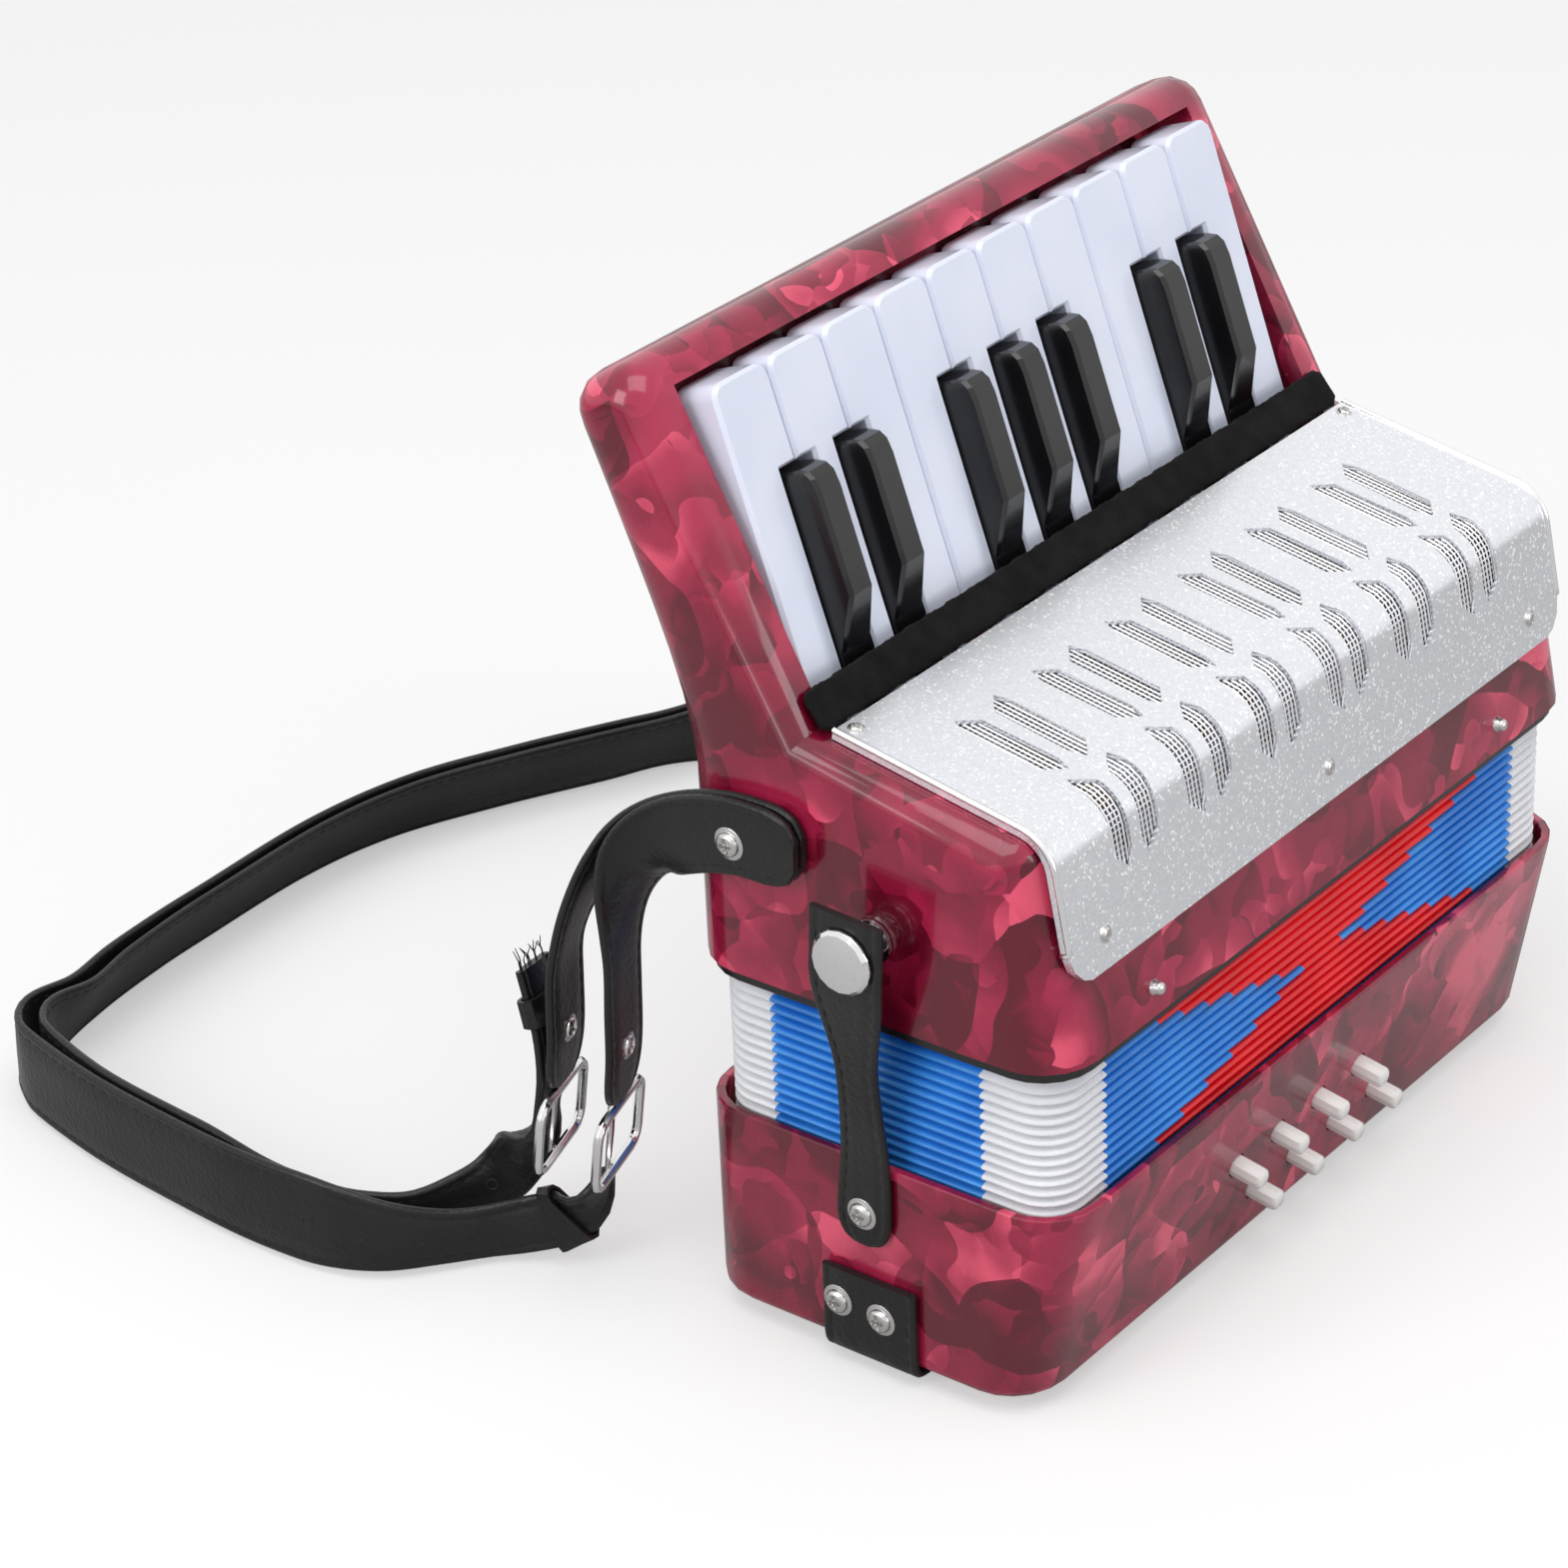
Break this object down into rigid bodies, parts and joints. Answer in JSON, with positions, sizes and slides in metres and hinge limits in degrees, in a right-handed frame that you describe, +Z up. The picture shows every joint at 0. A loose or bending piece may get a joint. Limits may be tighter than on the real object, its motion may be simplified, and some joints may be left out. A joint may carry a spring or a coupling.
{
  "type": "piano accordion",
  "caption": "Child-size piano accordion with a leaning keyboard, slotted silver grille, red pearloid cases, folding bellows, bass buttons and leather straps.",
  "frame": {"origin": "on the floor under the middle of the instrument, its loose shoulder straps left out", "axes": "+X along the keyboard from the low keys to the high keys, -Y towards the side with the grille and the bass buttons, +Z up along the bellows"},
  "size_m": [0.3046, 0.3384, 0.2401],
  "materials": {
    "pearl_red": "glossy red pearloid celluloid",
    "silver": "fine silver glitter lacquer",
    "mesh": "fine punched mesh",
    "ivory": "polished white plastic",
    "ebony": "polished black plastic",
    "black_felt": "felt",
    "black_plastic": "satin",
    "steel": "drawn",
    "chrome": "polished",
    "wood": "bare",
    "blue_cloth": "coated bellows cloth",
    "rubber": "moulded",
    "leather": "soft black leatherette, stitched",
    "white_plastic": "polished"
  },
  "bodies": {
    "bass": {"bass_case": "pearl_red", "bass_soundboard": "wood", "bass_reed_block": "wood", "bass_button_guide": "wood", "bellows_frame_bass": "wood", "bellows": "blue_cloth", "hand_strap": "leather", "foot_front_left": "rubber", "foot_front_right": "rubber", "foot_back_left": "rubber", "foot_back_right": "rubber"},
    "treble": {"treble_case": "pearl_red", "treble_grille": "silver", "grille_mesh": "mesh", "key_strip": "black_felt", "key_axle": "steel", "key_rest_felt": "black_felt", "treble_soundboard": "wood", "treble_reed_block_front": "wood", "treble_reed_block_back": "wood", "bellows_frame_treble": "black_plastic", "snap_stud_left": "steel", "snap_stud_right": "steel", "strap_tab_a": "leather", "strap_tab_b": "leather", "shoulder_strap_a": "leather", "shoulder_strap_b": "leather", "buckle_a": "chrome", "buckle_b": "chrome"},
    "strap_left": {"bellows_strap_left": "leather", "snap_cap_left": "chrome"},
    "strap_right": {"bellows_strap_right": "leather", "snap_cap_right": "chrome"},
    "white_01": {"white_key_01": "ivory"},
    "white_02": {"white_key_02": "ivory"},
    "white_03": {"white_key_03": "ivory"},
    "white_04": {"white_key_04": "ivory"},
    "white_05": {"white_key_05": "ivory"},
    "white_06": {"white_key_06": "ivory"},
    "white_07": {"white_key_07": "ivory"},
    "white_08": {"white_key_08": "ivory"},
    "white_09": {"white_key_09": "ivory"},
    "white_10": {"white_key_10": "ivory"},
    "black_01": {"black_key_01": "ebony"},
    "black_02": {"black_key_02": "ebony"},
    "black_03": {"black_key_03": "ebony"},
    "black_04": {"black_key_04": "ebony"},
    "black_05": {"black_key_05": "ebony"},
    "black_06": {"black_key_06": "ebony"},
    "black_07": {"black_key_07": "ebony"},
    "button_1": {"bass_button_1": "white_plastic"},
    "button_2": {"bass_button_2": "white_plastic"},
    "button_3": {"bass_button_3": "white_plastic"},
    "button_4": {"bass_button_4": "white_plastic"},
    "button_5": {"bass_button_5": "white_plastic"},
    "button_6": {"bass_button_6": "white_plastic"},
    "button_7": {"bass_button_7": "white_plastic"},
    "button_8": {"bass_button_8": "white_plastic"}
  },
  "joints": [
    {"name": "bellows_open", "type": "slide", "parent": "bass", "child": "treble", "axis": [0, 0, 1], "range_m": [0, 0.15], "deforming": ["bellows"]},
    {"name": "white_01_press", "type": "hinge", "parent": "treble", "child": "white_01", "pos_m": [-0.09, 0.01238, 0.15659], "axis": [-1, 0, 0], "range_deg": [0, 3.5], "stiffness_Nm_per_rad": 0.16, "springref_deg": -14.32},
    {"name": "white_02_press", "type": "hinge", "parent": "treble", "child": "white_02", "pos_m": [-0.07, 0.01238, 0.15659], "axis": [-1, 0, 0], "range_deg": [0, 3.5], "stiffness_Nm_per_rad": 0.16, "springref_deg": -14.32},
    {"name": "white_03_press", "type": "hinge", "parent": "treble", "child": "white_03", "pos_m": [-0.05, 0.01238, 0.15659], "axis": [-1, 0, 0], "range_deg": [0, 3.5], "stiffness_Nm_per_rad": 0.16, "springref_deg": -14.32},
    {"name": "white_04_press", "type": "hinge", "parent": "treble", "child": "white_04", "pos_m": [-0.03, 0.01238, 0.15659], "axis": [-1, 0, 0], "range_deg": [0, 3.5], "stiffness_Nm_per_rad": 0.16, "springref_deg": -14.32},
    {"name": "white_05_press", "type": "hinge", "parent": "treble", "child": "white_05", "pos_m": [-0.01, 0.01238, 0.15659], "axis": [-1, 0, 0], "range_deg": [0, 3.5], "stiffness_Nm_per_rad": 0.16, "springref_deg": -14.32},
    {"name": "white_06_press", "type": "hinge", "parent": "treble", "child": "white_06", "pos_m": [0.01, 0.01238, 0.15659], "axis": [-1, 0, 0], "range_deg": [0, 3.5], "stiffness_Nm_per_rad": 0.16, "springref_deg": -14.32},
    {"name": "white_07_press", "type": "hinge", "parent": "treble", "child": "white_07", "pos_m": [0.03, 0.01238, 0.15659], "axis": [-1, 0, 0], "range_deg": [0, 3.5], "stiffness_Nm_per_rad": 0.16, "springref_deg": -14.32},
    {"name": "white_08_press", "type": "hinge", "parent": "treble", "child": "white_08", "pos_m": [0.05, 0.01238, 0.15659], "axis": [-1, 0, 0], "range_deg": [0, 3.5], "stiffness_Nm_per_rad": 0.16, "springref_deg": -14.32},
    {"name": "white_09_press", "type": "hinge", "parent": "treble", "child": "white_09", "pos_m": [0.07, 0.01238, 0.15659], "axis": [-1, 0, 0], "range_deg": [0, 3.5], "stiffness_Nm_per_rad": 0.16, "springref_deg": -14.32},
    {"name": "white_10_press", "type": "hinge", "parent": "treble", "child": "white_10", "pos_m": [0.09, 0.01238, 0.15659], "axis": [-1, 0, 0], "range_deg": [0, 3.5], "stiffness_Nm_per_rad": 0.16, "springref_deg": -14.32},
    {"name": "black_01_press", "type": "hinge", "parent": "treble", "child": "black_01", "pos_m": [-0.08, 0.01238, 0.15659], "axis": [-1, 0, 0], "range_deg": [0, 3.5], "stiffness_Nm_per_rad": 0.16, "springref_deg": -14.32},
    {"name": "black_02_press", "type": "hinge", "parent": "treble", "child": "black_02", "pos_m": [-0.06, 0.01238, 0.15659], "axis": [-1, 0, 0], "range_deg": [0, 3.5], "stiffness_Nm_per_rad": 0.16, "springref_deg": -14.32},
    {"name": "black_03_press", "type": "hinge", "parent": "treble", "child": "black_03", "pos_m": [-0.02, 0.01238, 0.15659], "axis": [-1, 0, 0], "range_deg": [0, 3.5], "stiffness_Nm_per_rad": 0.16, "springref_deg": -14.32},
    {"name": "black_04_press", "type": "hinge", "parent": "treble", "child": "black_04", "pos_m": [0, 0.01238, 0.15659], "axis": [-1, 0, 0], "range_deg": [0, 3.5], "stiffness_Nm_per_rad": 0.16, "springref_deg": -14.32},
    {"name": "black_05_press", "type": "hinge", "parent": "treble", "child": "black_05", "pos_m": [0.02, 0.01238, 0.15659], "axis": [-1, 0, 0], "range_deg": [0, 3.5], "stiffness_Nm_per_rad": 0.16, "springref_deg": -14.32},
    {"name": "black_06_press", "type": "hinge", "parent": "treble", "child": "black_06", "pos_m": [0.06, 0.01238, 0.15659], "axis": [-1, 0, 0], "range_deg": [0, 3.5], "stiffness_Nm_per_rad": 0.16, "springref_deg": -14.32},
    {"name": "black_07_press", "type": "hinge", "parent": "treble", "child": "black_07", "pos_m": [0.08, 0.01238, 0.15659], "axis": [-1, 0, 0], "range_deg": [0, 3.5], "stiffness_Nm_per_rad": 0.16, "springref_deg": -14.32},
    {"name": "button_1_press", "type": "slide", "parent": "bass", "child": "button_1", "axis": [0, 0.9814, 0.1919], "range_m": [0, 0.004], "stiffness_N_per_m": 60, "springref_m": -0.01},
    {"name": "button_2_press", "type": "slide", "parent": "bass", "child": "button_2", "axis": [0, 0.9814, 0.1919], "range_m": [0, 0.004], "stiffness_N_per_m": 60, "springref_m": -0.01},
    {"name": "button_3_press", "type": "slide", "parent": "bass", "child": "button_3", "axis": [0, 0.9814, 0.1919], "range_m": [0, 0.004], "stiffness_N_per_m": 60, "springref_m": -0.01},
    {"name": "button_4_press", "type": "slide", "parent": "bass", "child": "button_4", "axis": [0, 0.9814, 0.1919], "range_m": [0, 0.004], "stiffness_N_per_m": 60, "springref_m": -0.01},
    {"name": "button_5_press", "type": "slide", "parent": "bass", "child": "button_5", "axis": [0, 0.9814, 0.1919], "range_m": [0, 0.004], "stiffness_N_per_m": 60, "springref_m": -0.01},
    {"name": "button_6_press", "type": "slide", "parent": "bass", "child": "button_6", "axis": [0, 0.9814, 0.1919], "range_m": [0, 0.004], "stiffness_N_per_m": 60, "springref_m": -0.01},
    {"name": "button_7_press", "type": "slide", "parent": "bass", "child": "button_7", "axis": [0, 0.9814, 0.1919], "range_m": [0, 0.004], "stiffness_N_per_m": 60, "springref_m": -0.01},
    {"name": "button_8_press", "type": "slide", "parent": "bass", "child": "button_8", "axis": [0, 0.9814, 0.1919], "range_m": [0, 0.004], "stiffness_N_per_m": 60, "springref_m": -0.01},
    {"name": "strap_left_swing", "type": "hinge", "parent": "bass", "child": "strap_left", "pos_m": [-0.1163, -0.00973, 0.0451], "axis": [1, 0, 0], "range_deg": [0, 80]},
    {"name": "strap_right_swing", "type": "hinge", "parent": "bass", "child": "strap_right", "pos_m": [0.1163, -0.00973, 0.0451], "axis": [1, 0, 0], "range_deg": [0, 80]}
  ]
}
